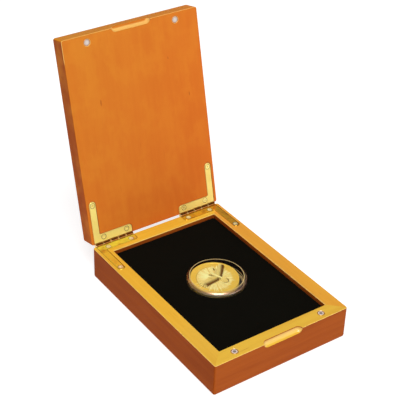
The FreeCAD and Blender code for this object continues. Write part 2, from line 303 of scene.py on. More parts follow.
def woodFinish(name, look, axes, origin=(0, 0, 0), shift=0.0):
    # axes are the directions along the grain, across it and through the board
    f = Finish(name, {
        "Specular IOR Level": look["specular"],
        "Coat Roughness": look["coatRoughness"],
        "Coat IOR": look["coatIOR"],
    })
    place = f.fromPoint(f.place, origin)
    along, across, through = (f.dot(place, axis) for axis in axes)

    def patches(scales, detail, rough=0.5):
        # soft patches, with a scale along the grain, one across it and one through the board
        spot = f.vector(along * scales[0] + shift, across * scales[1], through * scales[2])
        return f.noise(spot, 1.0, detail, rough)

    across = across + (patches(look["wander"], 1) - 0.5) * look["wanderReach"]
    length, width = look["grainLength"], look["grainWidth"]
    streaks = f.noise(f.vector(along / length + shift, across / width, through / width), 1.0, 4, 0.6)
    broad = patches(look["broad"], 2)
    length, width = look["poreLength"], look["poreWidth"]
    pores = f.noise(f.vector(along / length, across / width, through / width + shift), 1.0, 2)
    pores = f.step(pores, *look["poreStep"])
    flecks = f.step(patches(look["fleckScale"], 1), *look["fleckStep"]) * f.step(broad, *look["fleckField"])
    tone = f.step(streaks * look["streakShare"] + broad * (1 - look["streakShare"]), *look["toneStep"])
    side = f.mix(tone, look["sideDark"], look["side"])
    # painted light: faces that look up take the lit top colour
    rim = f.mix(tone, look["rimDark"], look["rim"])
    normal = f.node("TexCoord", out="Normal")
    faceOn = f.dot(normal, zAxis)
    top = f.step(faceOn, *look["rimStep"])
    wood = f.mix(top, side, rim)
    if look["litInside"]:
        # painted light: the board's inner face, which faces the light, is painted paler than its edges and
        # its back
        faceOn = f.dot(normal, [-part for part in axes[2]])
        litInside = f.mix(tone, look["litInsideDark"], look["litInside"])
        wood = f.mix(f.step(faceOn, *look["litInsideStep"]), wood, litInside)
        mottle = f.step(patches(look["mottleScale"], 3, 0.6), *look["mottleStep"])
        wood = f.mix(mottle * look["mottleShare"], wood, look["mottle"])
    # painted highlight: the hollow of the finger notch is painted paler than the face it opens on, and on
    # the rails so are rounded edges that slope the same way
    cove = f.band(faceOn, look["coveBand"]) * look["coveShare"]
    if look["coveEdge"]:
        cove = cove * f.step(along, *look["coveEdge"])
    wood = f.mix(cove, wood, look["cove"])
    wood = f.mix(pores * look["poreShare"] + flecks * look["fleckShare"], wood, look["fleck"])
    for mark in look["marks"]:
        offAlong = (along - mark["along"]) / mark["length"]
        offAcross = (across - mark["across"]) / mark["width"]
        spot = 1 - f.step(offAlong ** 2 + offAcross ** 2, *look["markStep"])
        wood = f.mix(spot * look["markShare"], wood, look["fleck"])
    if look["warmShift"]:
        # towards the hinge and the right side the colour turns redder and darker
        acrossPull, alongPull = look["warmShiftPull"]
        warm = f.step(across * acrossPull - along * alongPull, *look["warmShiftStep"])
        wood = f.mix(warm * look["warmShift"], wood, look["warmShiftColour"], "MULTIPLY")
    rough = look["roughness"] + (streaks - 0.5) * look["streakRoughness"]
    coat = look["coatSide"]
    if look["coatRim"] != coat:
        coat = coat + top * (look["coatRim"] - coat)
    f.set({
        "Base Color": wood,
        "Roughness": rough + pores * look["poreRoughness"],
        "Coat Weight": coat,
        "Normal": f.bump(streaks * look["streakRelief"] - pores, look["relief"], 0.5),
    })
    return f


hinge = next(joint for joint in frame["joints"] if joint["name"] == "lid_hinge")
openAngle = math.radians(max(hinge["range_deg"]))
lidLong = (0, -math.cos(openAngle), math.sin(openAngle))
lidDeep = (0, math.sin(openAngle), math.cos(openAngle))
baseLong = (0, -1, 0)

# the left rail is painted darker on its sides, painted shade, and more orange on top, a painted reflection
# of the lid; the right rail's painted top light is redder
shadedLeftLook = {
    **woodLook,
    "side": (0.32, 0.063, 0.0065),
    "sideDark": (0.25, 0.044, 0.0045),
    "rim": (0.93, 0.54, 0.052),
    "specular": 0.015,
    "coatSide": 0.0,
}
rightLook = {**woodLook, "rim": (0.93, 0.44, 0.034), "rimDark": (0.85, 0.36, 0.026)}
rails = (
    ("front", woodLook, (xAxis, yAxis, zAxis), 3.1),
    ("rear", woodLook, (xAxis, yAxis, zAxis), 17.4),
    ("left", shadedLeftLook, (yAxis, xAxis, zAxis), 8.6),
    ("right", rightLook, (yAxis, xAxis, zAxis), 29.3),
)
for side, look, axes, shift in rails:
    wear(woodFinish(f"lacquered wood {side}", look, axes, shift=shift), f"base_{side}_rail")
lidLook = {
    **woodLook,
    # the lid's inner face gets a paler colour: painted light
    "litInside": (0.590, 0.182, 0.0200),
    "litInsideDark": (0.560, 0.158, 0.0175),
    "litInsideStep": (0.6, 0.95),
    "coveShare": 0.60,
    "coveEdge": (0.106, 0.110),
    "marks": (  # short dark mineral marks
        {"along": 0.0815, "across": -0.0250, "length": 0.0021, "width": 0.00055},
        {"along": 0.0720, "across": 0.0320, "length": 0.0014, "width": 0.00040},
        {"along": 0.0960, "across": 0.0210, "length": 0.0010, "width": 0.00035},
    ),
    "markStep": (0.2, 1.2),
    "markShare": 0.55,
    "mottle": (0.625, 0.225, 0.023),
    "mottleScale": (60, 85, 60),
    "mottleStep": (0.40, 0.66),
    "mottleShare": 0.40,
    "specular": 0.015,
    "coatSide": 0.0,
    # the lid's front edge faces up at rest and takes the painted top light too
    "rim": (0.78, 0.285, 0.018),
    "rimDark": (0.71, 0.245, 0.014),
    "coatRim": 0.0,
    "poreShare": 0.05,
    "warmShift": 0.5,
    "warmShiftColour": (1.16, 0.68, 0.80),
    "warmShiftPull": (9.0, 6.0),
    "warmShiftStep": (-1.2, 0.4),
}
lidAxes = (lidLong, xAxis, lidDeep)
wear(woodFinish("lacquered wood lid", lidLook, lidAxes, hinge["pos_m"], 41.7), "lid_panel")
panelLook = {**woodLook, "side": (0.42, 0.19, 0.06), "sideDark": (0.34, 0.14, 0.04)}
wear(woodFinish("plain wood panel", panelLook, (yAxis, xAxis, zAxis), shift=5.5), "bottom_panel")
print("wood finished")


metalLook = {
    "cloudScale": 160,
    "smudgeAndReflectionStep": (0.45, 0.75),
    "lineScale": (90, 4200, 4200),
    "lineRoughness": 0.06,
    "lineDepth": 0.000005,
    "lineStrength": 0.35,
}
barrelLook = {
    "edge": (0.00125, 0.00145),
    # a dark brown painted reflection for the barrel, and pale painted highlight lines between its knuckles
    "colour": (0.42, 0.16, 0.035),
    "roughness": 0.13,
    "knuckles": 5,
    "knuckleGlint": (0.88, 0.62, 0.26),
    "knuckleGlintEdge": (0.05, 0.11),
}
ringLook = {
    "colour": (0.20, 0.12, 0.020),
    "band": (0.00128, 0.00140, 0.00152, 0.00172),
    "share": 0.95,
}


def metalFinish(name, look):
    # clouded metal with fine brushed lines
    f = Finish(name, {"Metallic": look["metallic"]})
    cloud = f.noise(f.place, metalLook["cloudScale"], 3, 0.55)
    spot = [f.dot(f.place, axis) for axis in (xAxis, yAxis, zAxis)]
    lines = f.noise(f.vector(*(part * scale for part, scale in zip(spot, metalLook["lineScale"]))), 1.0, 2)
    rough = look["roughness"] + (cloud - 0.5) * look["spread"] + (lines - 0.5) * metalLook["lineRoughness"]
    f.set({"Roughness": rough, "Normal": f.bump(lines, metalLook["lineDepth"], metalLook["lineStrength"])})
    return f, cloud, rough


def brassFinish(name, look, leafAxis=None):
    f, cloud, rough = metalFinish(name, look)
    # the clouded patches are smudges on most brass; on the base leaves they and the leaf colour are a
    # painted reflection of the orange lid
    paint = f.mix(f.step(cloud, *metalLook["smudgeAndReflectionStep"]), look["colour"], look["smudgeAndReflection"])
    if leafAxis:
        # a dark line round each screw head, its place measured from the pin
        place = f.fromPoint(f.place, hinge["pos_m"])
        aside, run = abs(f.dot(f.place, xAxis)), f.dot(place, leafAxis)
        for number in (1, 2, 3):
            low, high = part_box(f"right_hinge_base_screw_{number}")
            head = (low + high) / 2
            gap = ((aside - head.x) ** 2 + (run - (hinge["pos_m"][1] - head.y)) ** 2) ** 0.5
            paint = f.mix(f.band(gap, ringLook["band"]) * ringLook["share"], paint, ringLook["colour"])
        # the knuckles round the pin are painted dark brown, a painted reflection, with painted highlight
        # lines at the gaps between knuckles
        away = (f.dot(place, yAxis) ** 2 + f.dot(place, zAxis) ** 2) ** 0.5
        leaf = f.step(away, *barrelLook["edge"])
        low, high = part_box("right_hinge_base_leaf")
        knuckleGlint = (aside - low.x) / ((high.x - low.x) / barrelLook["knuckles"])
        knuckleGlint = f.node("Math", {"operation": "PINGPONG"}, {0: knuckleGlint, 1: 0.5})
        knuckleGlint = 1 - f.step(knuckleGlint, *barrelLook["knuckleGlintEdge"])
        paint = f.mix(leaf, f.mix(knuckleGlint, barrelLook["colour"], barrelLook["knuckleGlint"]), paint)
        rough = leaf * (rough - barrelLook["roughness"]) + barrelLook["roughness"]
        f.set({"Metallic": 1 - leaf * (1 - look["metallic"])})
    f.set({"Base Color": paint, "Roughness": rough})
    return f


def magnetFinish(name, look, magnet, runAxis):
    # a disc painted with light and shade: its middle and its crown take painted reflection and highlight
    # colours, and its outer edge a painted shadow line in wood brown where it meets the wood
    f = metalFinish(name, look)[0]
    low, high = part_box(magnet)
    middle, radius = (low + high) / 2, (high.x - low.x) / 2
    aside = abs(f.dot(f.place, xAxis)) - abs(middle.x)
    run = f.dot(f.fromPoint(f.place, middle), runAxis)
    gap = (aside ** 2 + run ** 2) ** 0.5 / radius
    paint = f.mix(f.step(gap, *look["paintedShadingEdge"]), look["paintedShading"], look["crown"])
    f.set({"Base Color": f.mix(f.step(gap, *look["edgeShadeStep"]), paint, look["edgeShade"])})
    return f


lidLeafLook = {
    "metallic": 0.42,
    "colour": (0.98, 0.80, 0.22),
    "smudgeAndReflection": (0.95, 0.73, 0.17),
    "roughness": 0.40,
    "spread": 0.14,
}
# the right lid leaf is a darker copy of the left one: painted shade
shadedLidLeafLook = {**lidLeafLook, "colour": (0.86, 0.66, 0.17), "smudgeAndReflection": (0.82, 0.60, 0.14)}
# the base leaves are painted saturated yellow with dark orange patches: a painted reflection of the orange
# lid
reflectingBaseLeafLook = {
    "metallic": 0.55,
    "colour": (1.00, 0.82, 0.08),
    "smudgeAndReflection": (0.72, 0.34, 0.03),
    "roughness": 0.20,
    "spread": 0.10,
}
# the right base leaf is painted darker orange still: a darker painted reflection of the lid
darkReflectingLeafLook = {
    **reflectingBaseLeafLook,
    "metallic": 0.6,
    "colour": (0.92, 0.47, 0.030),
    "smudgeAndReflection": (0.50, 0.18, 0.015),
}
pinLook = {
    **reflectingBaseLeafLook,
    "metallic": 1.0,
    "colour": (0.90, 0.68, 0.24),
    "smudgeAndReflection": (0.80, 0.55, 0.18),
}
lidScrewLook = {
    "metallic": 0.6,
    "colour": (0.96, 0.82, 0.28),
    "smudgeAndReflection": (0.90, 0.70, 0.20),
    "roughness": 0.32,
    "spread": 0.12,
}
# the base leaf screws are painted paler than the lid screws: a painted highlight
litScrewLook = {
    "metallic": 0.5,
    "colour": (1.00, 0.88, 0.50),
    "smudgeAndReflection": (0.96, 0.78, 0.38),
    "roughness": 0.25,
    "spread": 0.12,
}
# the base magnets: a dark painted reflection in the middle and a bright painted highlight on the crown
baseMagnetLook = {
    "metallic": 0.25,
    "roughness": 0.26,
    "spread": 0.2,
    "paintedShading": (0.34, 0.26, 0.24),
    "crown": (1.00, 0.86, 0.78),
    "edgeShade": (0.58, 0.27, 0.04),
    "paintedShadingEdge": (0.38, 0.54),
    "edgeShadeStep": (0.70, 0.82),
}
# the lid magnets: a pale painted highlight in the middle and a darker painted crown
lidMagnetLook = {
    "metallic": 0.2,
    "roughness": 0.30,
    "spread": 0.2,
    "paintedShading": (0.54, 0.47, 0.43),
    "crown": (0.42, 0.32, 0.26),
    "edgeShade": (0.60, 0.20, 0.03),
    "paintedShadingEdge": (0.30, 0.75),
    "edgeShadeStep": (0.82, 0.90),
}

wear(brassFinish("satin brass left lid leaf", lidLeafLook, lidLong), "left_hinge_lid_leaf")
wear(brassFinish("satin brass right lid leaf", shadedLidLeafLook, lidLong), "right_hinge_lid_leaf")
wear(brassFinish("polished brass left base leaf", reflectingBaseLeafLook, baseLong), "left_hinge_base_leaf")
wear(brassFinish("polished brass right base leaf", darkReflectingLeafLook, baseLong), "right_hinge_base_leaf")
pinFinish = brassFinish("polished brass pin", pinLook)
lidScrewFinish = brassFinish("satin brass screws", lidScrewLook)
litScrewFinish = brassFinish("brass screws with painted highlight", litScrewLook)
lidMagnetFinish = magnetFinish("nickel lid magnets", lidMagnetLook, "lid_magnet_right", lidLong)
baseMagnetFinish = magnetFinish("nickel base magnets", baseMagnetLook, "base_magnet_right", yAxis)
for side in ("left", "right"):
    wear(pinFinish, f"{side}_hinge_pin")
    wear(lidMagnetFinish, f"lid_magnet_{side}")
    wear(baseMagnetFinish, f"base_magnet_{side}")
    for number in (1, 2, 3):
        wear(lidScrewFinish, f"{side}_hinge_lid_screw_{number}")
        wear(litScrewFinish, f"{side}_hinge_base_screw_{number}")
print("metal fittings finished")

innerLook = {
    "foam": (0.018, 0.018, 0.018),
    "foamPale": (0.040, 0.040, 0.040),
    "cellScale": 2600,
    "cellShare": 1.6,
    "cellDepth": 0.0002,
    "card": (0.045, 0.042, 0.038),
    "cardPale": (0.085, 0.080, 0.072),
    "fibreScale": 900,
    "fibreDepth": 0.00008,
}
foamFinish = Finish("black foam", {"Roughness": 0.9})
cells = foamFinish.node("TexVoronoi", {}, {"Vector": foamFinish.place, "Scale": innerLook["cellScale"]})
foamPaint = foamFinish.mix(cells * innerLook["cellShare"], innerLook["foam"], innerLook["foamPale"])
foamFinish.set({"Base Color": foamPaint})
foamFinish.set({"Normal": foamFinish.bump(cells, innerLook["cellDepth"])})
wear(foamFinish, "insert_foam_lower", "insert_foam_upper")
cardFinish = Finish("grey card", {"Roughness": 0.85})
fibres = cardFinish.noise(cardFinish.place, innerLook["fibreScale"], 5, 0.7)
cardFinish.set({"Base Color": cardFinish.mix(fibres, innerLook["card"], innerLook["cardPale"])})
cardFinish.set({"Normal": cardFinish.bump(fibres, innerLook["fibreDepth"])})
wear(cardFinish, "insert_card")

capsuleLow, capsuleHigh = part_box("capsule_base")
capsuleCentre = (capsuleLow + capsuleHigh) / 2
velvetLook = {
    "pile": (0.0024, 0.0022, 0.0011),
    "pileLight": (0.0048, 0.0044, 0.0026),
    "pileScale": 5200,
    "brushScale": 60,
    "pileDepth": 0.00015,
    "cornerRadius": 1.6,
    "edgeRoll": 1.0,
    "lipRoll": 0.9,
    "lipSink": 1.6,
    "thickness": 0.45,
    "pocketGap": 0.17,
    "edgeFloor": 12.9,
    "dip": 0.12,
    "dipTilt": 0.6,
    "spokes": 240,
    "middleRings": 22,
    "rollRings": 7,
    "edgeRings": 4,
    "pocketRings": 5,
}


def velvetCover(look):
    low, high = (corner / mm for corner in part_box("insert_velvet"))
    top = high.z
    reach = Vector(((high.x - low.x) / 2, (high.y - low.y) / 2))
    corner, count = look["cornerRadius"], look["spokes"]
    # points round the edge: a centre for each and the way out from it
    sides = [reach.y - corner, reach.x - corner, reach.y - corner, reach.x - corner]
    arc = corner * math.pi / 2
    ends = np.cumsum([0] + [part for side in sides for part in (2 * side, arc)])
    centres, outward = np.zeros((count, 2)), np.zeros((count, 2))
    for k, run in enumerate(np.linspace(0, ends[-1], count, endpoint=False)):
        part = int(np.searchsorted(ends, run, side="right")) - 1
        quarter, share = part // 2, (run - ends[part]) / (ends[part + 1] - ends[part])
        turn = quarter * math.pi / 2
        if part % 2:
            angle, spot = turn + share * math.pi / 2, 1.0
        else:
            angle, spot = turn, 2 * share - 1
        half = (sides[quarter], sides[(quarter + 1) % 4])
        local = np.array([half[1], half[0] * spot])
        spin = np.array([[math.cos(turn), -math.sin(turn)], [math.sin(turn), math.cos(turn)]])
        centres[k] = spin @ local
        outward[k] = (math.cos(angle), math.sin(angle))
    pocket = np.array(capsuleCentre.xy) / mm
    pocketRadius = (capsuleHigh.x - capsuleLow.x) / 2 / mm + look["pocketGap"]
    bearing = centres + outward * corner - pocket
    bearing /= np.linalg.norm(bearing, axis=1, keepdims=True)

    def edge(inset):
        return centres + outward * (corner - inset)

    def lip(growth):
        return pocket + bearing * (pocketRadius + growth)

    def surface(depth):
        # from the bottom of the outer edge, over the top, to the bottom of the pocket
        rings = []
        roll, lipRoll = look["edgeRoll"], look["lipRoll"]
        for height in np.linspace(look["edgeFloor"], top - roll, look["edgeRings"]):
            rings.append((edge(depth), height))
        for angle in np.linspace(0, math.pi / 2, look["rollRings"])[1:]:
            reachIn = roll - (roll - depth) * math.cos(angle)
            rings.append((edge(reachIn), top - roll + (roll - depth) * math.sin(angle)))
        first, last = edge(roll), lip(lipRoll)
        for share in np.linspace(0, 1, look["middleRings"])[1:-1]:
            dip = look["dip"] * (math.sin(share * math.pi) ** 2 - look["dipTilt"] * share**6)
            rings.append((first * (1 - share) + last * share, top - depth - look["dip"] + dip))
        for angle in np.linspace(math.pi / 2, 0, look["rollRings"]):
            growth = lipRoll - (lipRoll - depth) * math.cos(angle)
            rise = lipRoll - depth - look["dip"] * look["lipSink"]
            rings.append((lip(growth), top - lipRoll + rise * math.sin(angle)))
        for height in np.linspace(top - lipRoll, capsuleLow.z / mm, look["pocketRings"])[1:]:
            rings.append((lip(depth), height))
        return [np.column_stack([flat, np.full(count, height)]) for flat, height in rings]

    rings = surface(0.0) + surface(look["thickness"])[::-1]
    return ringMesh("velvet_cover", [ring * mm for ring in rings], joined=True)


velvetFinish = Finish("black velvet", {
    "Roughness": 0.95,
    "Specular IOR Level": 0.05,
    "Sheen Weight": 0.005,
    "Sheen Roughness": 0.4,
})
pile = velvetFinish.noise(velvetFinish.place, velvetLook["pileScale"], 2, 0.6)
brushed = velvetFinish.noise(velvetFinish.place, velvetLook["brushScale"], 3, 0.5)
nap = pile * 0.5 + brushed * 0.5
velvetFinish.set({"Base Color": velvetFinish.mix(nap, velvetLook["pile"], velvetLook["pileLight"])})
velvetFinish.set({"Normal": velvetFinish.bump(pile, velvetLook["pileDepth"], 0.6)})
velvet = addPiece("velvet_cover", velvetCover(velvetLook), "base", "velvet", velvetFinish, "insert_velvet")
print("insert finished")

acrylicLook = {
    "colour": (0.985, 0.985, 0.975),
    "roughness": 0.03,
    "hairlineScale": 700,
    "hairlineStep": (0.55, 0.8),
    "hairlineRoughness": 0.05,
    "ior": 1.49,
    "windowEdge": (0.0143, 0.0147),
    "faceGlare": 0.006,
    "edgeGlare": 0.3,
    "glareFade": 5,
    "levelStep": (0.75, 0.98),
    "outwardStep": (-0.3, 0.2),
    # the sheen colours are painted reflections: brown wood at the sides and the silver card at the front
    "wallSheen": (0.86, 0.50, 0.36),
    "frontSheen": (0.74, 0.74, 0.74),
    "front": (-0.56, -0.83, 0),
    "nearStep": (-0.5, 0.0),
    "frontStep": (0.66, 0.90),
    "sheenFade": 7,
    "leastSheen": 0.02,
    "wallRoughness": 0.33,
    "wallShare": 0.36,
    "wallSolid": 0.28,
    "ringBand": (0.01480, 0.01500, 0.01535, 0.01555),
    # the tan colour of the painted highlight line on the top ring
    "frostAndGlint": (0.74, 0.56, 0.24),
    "ringGlintShare": 0.75,
}


def acrylicFinish(look):
    f = Finish("clear acrylic", {
        "Base Color": look["colour"],
        "IOR": look["ior"],
        "Transmission Weight": 1.0,
    })
    hairlines = f.step(f.noise(f.place, look["hairlineScale"], 3, 0.6), *look["hairlineStep"])
    f.set({"Roughness": look["roughness"] + hairlines * look["hairlineRoughness"]})
    place = f.fromPoint(f.place, capsuleCentre)
    x, y = f.dot(place, xAxis), f.dot(place, yAxis)
    away = (x * x + y * y) ** 0.5
    # the flat window is thin and plain
    facing = f.node("LayerWeight", {}, {"Blend": 0.5}, "Facing")
    clear = f.node("BsdfTransparent", {}, {"Color": look["colour"]})
    gloss = f.node("BsdfGlossy", {}, {"Color": (1, 1, 1), "Roughness": look["roughness"]})
    window = f.blend(facing ** look["glareFade"] * look["edgeGlare"] + look["faceGlare"], clear, gloss)
    # the wall bends the light; the sheen of its outer side is painted brown, a reflection of the wood,
    # turns silver at the front, a reflection of the front card, and is left off the far side
    normal = f.node("TexCoord", out="Normal")
    level = f.step(f.dot(normal, zAxis), *look["levelStep"])
    outward = (f.dot(normal, xAxis) * x + f.dot(normal, yAxis) * y) / away
    outside = f.step(outward, *look["outwardStep"]) * (1 - level)
    towards = f.dot(normal, look["front"])
    frank = outside * (1 - facing ** look["sheenFade"]) * f.step(towards, *look["nearStep"])
    sheens = [
        f.node("BsdfGlossy", {}, {"Color": look[colour], "Roughness": look["wallRoughness"]})
        for colour in ("wallSheen", "frontSheen")
    ]
    sheen = f.blend(f.step(towards, *look["frontStep"]), *sheens)
    wall = f.blend(1 - frank * look["wallSolid"], Value(f, f.shader.outputs["BSDF"]), clear)
    sheenShare = look["wallShare"] * (look["leastSheen"] + (1 - look["leastSheen"]) * frank)
    wall = f.blend(sheenShare, wall, sheen)
    # a thin pale ring on top of the wall is a painted highlight line, made with a tan diffuse shader
    ring = level * f.band(away, look["ringBand"])
    ringGlint = f.node("BsdfDiffuse", {}, {"Color": look["frostAndGlint"]})
    wall = f.blend(ring * look["ringGlintShare"], wall, ringGlint)
    f.plug(f.nodes["Material Output"], "Surface", f.blend(f.step(away, *look["windowEdge"]), window, wall))
    return f


wear(acrylicFinish(acrylicLook), "capsule_base", "capsule_lid")

coinLook = {
    "turn": -35.76,
    "lean": 0.033,
    "angles": 600,
    "rays": 75,
    "rayRise": 0.13,
    "rayLeast": 0.35,
    "rayStart": (2.6, 2.2),  # the nearest, and how far the others may be beyond it
    "rayEnd": (9.4, 3.0),
    "rayFade": (1.2, 1.6),
    "quietLeast": 0.5,
    "quietRun": 0.9,
    "reeds": 120,
    "reedDepth": 0.10,
    "edgeRings": [(0.03, 0.4), (0.06, 1.0), (0.5, 1.0), (0.94, 1.0), (0.97, 0.4)],  # way down, reeds' share
    "rimWidth": 0.9,
    "reliefGap": 0.1,
    "rimHeight": 0.28,
    "rimRun": (0.12, 0.16),
    "borderInner": 10.1,
    "borderHeight": 0.07,
    "borderRun": 0.2,
    "dish": 0.30,
    "fieldRings": (0.25, 12.6, 116),
    "stepRings": (12.74, 12.98, 6),
    "rimRings": (13.3, 13.62, 13.7, 13.75),
    "backRimRings": (13.75, 13.62, 13.2, 12.96, 12.8),
    "backRings": (12.5, 0.6, 16),
    "bevelFrom": 13.62,
    "bevelDrop": 0.6,
    "backRays": (2.0, 9.6),
    "backRayRise": 0.182,
    "beads": 50,
    "beadRing": 11.4,
    "beadWidth": 0.3,
    "beadRise": 0.12,
    "bossRise": 0.2,
    "bossWidth": 1.6,
    "seed": 12,
    "metallic": 0.22,
    "specular": 0.08,
    "gold": (0.80, 0.53, 0.080),
    # the pale gold of the painted glints
    "goldGlint": (1.00, 0.95, 0.42),
    # the dark colour of the painted shade on the relief, its grooves and its drop shadows
    "goldShade": (0.110, 0.038, 0.003),
    "shadeShare": (0.95, 0.2),
    "paintedGlow": 0.20,
    "shineCentre": (-4.5, 1.5),
    "shineReach": 7.0,
    "shineSquash": 1.1,
    "shineMost": 0.75,
    "fieldRun": 0.3,
    "fieldGlint": (0.36, 0.9),
    "rayGlint": (1.5, 0.28),
    "birdGlint": (0.25, 1.2, 0.2),
    "line": 0.45,
    "lineWidth": 0.16,
    "groove": 0.9,
    "shadowOffset": 0.28,
    "dropShadowTone": 0.78,
    "fieldRoughness": 0.34,
    "reliefRoughness": 0.42,
    "frostScale": 9000,
    "cloudScale": 140,
    "cloudShare": 0.3,
    "cloudRoughness": 0.06,
    "frostDepth": 0.00003,
}
birdLook = {
    "rootWidth": 0.55,
    "bladeEdge": 0.35,
    "overlap": 0.01,
    "raised": {
        "roots": [(0.9, 2.6), (0.7, 7.2), (2.2, 10.8)],
        "tips": [(3.7, 2.0), (4.5, 6.6), (4.9, 10.9), (4.2, 12.7), (2.5, 13.0)],
        "blades": 11,
        "width": 0.46,
        "rise": 0.40,
    },
    "lowered": {
        "roots": [(1.9, 1.4), (-3.2, 0.1), (-5.0, -2.0)],
        "tips": [(2.0, -1.2), (-1.4, -4.4), (-4.9, -8.0), (-6.6, -7.0), (-7.9, -5.0)],
        "blades": 12,
        "width": 0.46,
        "rise": 0.36,
    },
    "tail": {
        "roots": [(3.8, 1.0), (3.2, -0.2)],
        "tips": [(7.4, 0.0), (7.6, -2.2), (5.4, -3.4)],
        "blades": 6,
        "width": 0.40,
        "rise": 0.30,
    },
    # each limb's rise, its two ends and its width at each
    "raisedArm": (0.55, (0.6, 2.6), (0.6, 8.0), 0.70, 0.40),
    "loweredArm": (0.50, (1.6, 1.7), (-3.4, 0.3), 0.70, 0.40),
    "body": (0.72, (-0.9, 3.4), (3.9, 0.5), 1.05, 0.60),
    "head": (0.66, (-2.0, 4.1), (-1.0, 3.6), 0.75, 0.90),
    "beak": (0.45, (-2.6, 4.0), (-3.4, 3.3), 0.40, 0.12),
    # painted shadows before the bend of the raised wing, under the beak, over the tail and under the body
    "shadeSpots": [
        ((-0.9, 8.7), (-0.2, 7.3), 0.28, 0.45),
        ((-3.4, 2.8), (-1.5, 2.3), 0.22, 0.36),
        ((6.6, 0.7), (8.1, -2.3), 0.20, 0.32),
        ((1.6, 0.0), (3.4, -0.5), 0.40, 0.30),
    ],
    "shadeSpotTone": 0.95,
    # how deep each part's painted shade is at its foot, and how much its dome takes off
    "armTone": (0.50, 0.45),
    "tailTone": (0.80, 0.85),
    "bodyTone": (0.85, 1.25),
    "headTone": (0.70, 1.10),
    # a wing's lit tone and what its shade adds, what a blade takes off, where the shade starts and
    # its run, and where the tone ends at the tip, over what run and how far
    "raisedShade": {
        "tones": (0.38, 0.86),
        "blade": 0.25,
        "start": 2.1,
        "run": 1.3,
        "tipEnd": 12.3,
        "tipRun": 0.8,
        "tipLeast": 0.0,
    },
    "raisedLean": 0.09,
    "loweredShade": {
        "tones": (0.40, 0.80),
        "blade": 0.32,
        "start": -0.4,
        "run": 1.9,
        "tipEnd": 11.6,
        "tipRun": 2.2,
        "tipLeast": 0.15,
    },
    "loweredSide": (0.627, -0.779),
    "shoulder": (2.2, 1.0),
}


def stroke(x, y, start, end, startWidth, endWidth):
    # a domed tapering stroke, 1 along its middle and 0 outside
    (x0, y0), (x1, y1) = start, end
    dx, dy = x1 - x0, y1 - y0
    share = np.clip(((x - x0) * dx + (y - y0) * dy) / (dx * dx + dy * dy), 0, 1)
    gap = np.hypot(x - x0 - share * dx, y - y0 - share * dy)
    width = startWidth + (endWidth - startWidth) * share
    return np.sqrt(np.clip(1 - (gap / width) ** 2, 0, 1))


def along(points, count):
    # evenly spaced places along a run of corner points
    points = np.array(points, float)
    runs = np.concatenate([[0], np.cumsum(np.hypot(*np.diff(points, axis=0).T))])
    spots = np.linspace(0, runs[-1], count)
    return list(zip(np.interp(spots, runs, points[:, 0]), np.interp(spots, runs, points[:, 1])))


def feathers(x, y, fan):
    # blades fan out from a line of roots to a curve of tips, with a groove between each two
    height, blade = np.zeros_like(x), np.zeros_like(x)
    roots, tips = along(fan["roots"], fan["blades"]), along(fan["tips"], fan["blades"])
    for k, (root, tip) in enumerate(zip(roots, tips)):
        shape = stroke(x, y, root, tip, fan["width"] * birdLook["rootWidth"], fan["width"])
        crown = birdLook["bladeEdge"] + (1 - birdLook["bladeEdge"]) * shape
        lift = np.where(shape > 0, fan["rise"] * crown + birdLook["overlap"] * k, 0)
        blade = np.where(lift > height, shape, blade)
        height = np.maximum(height, lift)
    return height, blade


def wingTone(look, aside, out, blade):
    # a wing is lit along its leading side and lies in shade along its trailing side
    lit, shaded = look["tones"]
    trailing = np.clip((aside - look["start"]) / look["run"], 0, 1)
    tip = np.clip((look["tipEnd"] - out) / look["tipRun"], look["tipLeast"], 1)
    return (lit + shaded * trailing - look["blade"] * blade) * tip


def soaringBird(x, y):
    # height of the bird over the field, and how deep its painted shade is
    (raised, raisedBlade), (lowered, loweredBlade), (tail, tailBlade) = (
        feathers(x, y, birdLook[fan]) for fan in ("raised", "lowered", "tail")
    )
    limbs = []
    for limb in ("raisedArm", "loweredArm", "body", "head", "beak"):
        rise, *shape = birdLook[limb]
        limbs.append(rise * stroke(x, y, *shape))
    raisedArm, loweredArm, body, head, beak = limbs
    height = np.maximum.reduce([raised, lowered, tail, *limbs])
    raisedTone = wingTone(birdLook["raisedShade"], x - birdLook["raisedLean"] * y, y, raisedBlade)
    shoulderX, shoulderY = birdLook["shoulder"]
    sideX, sideY = birdLook["loweredSide"]
    aside = sideX * (x - shoulderX) + sideY * (y - shoulderY)
    out = np.hypot(x - shoulderX, y - shoulderY)
    loweredTone = wingTone(birdLook["loweredShade"], aside, out, loweredBlade)

    def domed(look, dome):
        foot, loss = birdLook[look]
        return foot - loss * dome

    deep = np.zeros_like(x)
    for part, tone in (
        (raised, raisedTone),
        (raisedArm, domed("armTone", raisedArm)),
        (lowered, loweredTone),
        (loweredArm, domed("armTone", loweredArm)),
        (tail, domed("tailTone", tailBlade)),
        (body, domed("bodyTone", body)),
        (head, domed("headTone", head)),
    ):
        deep = np.where((height == part) & (part > 0), tone, deep)
    paintedShading = np.maximum.reduce([stroke(x, y, *shape) for shape in birdLook["shadeSpots"]])
    deep = np.maximum(deep, birdLook["shadeSpotTone"] * paintedShading)
    return height, np.clip(deep, 0, 1)


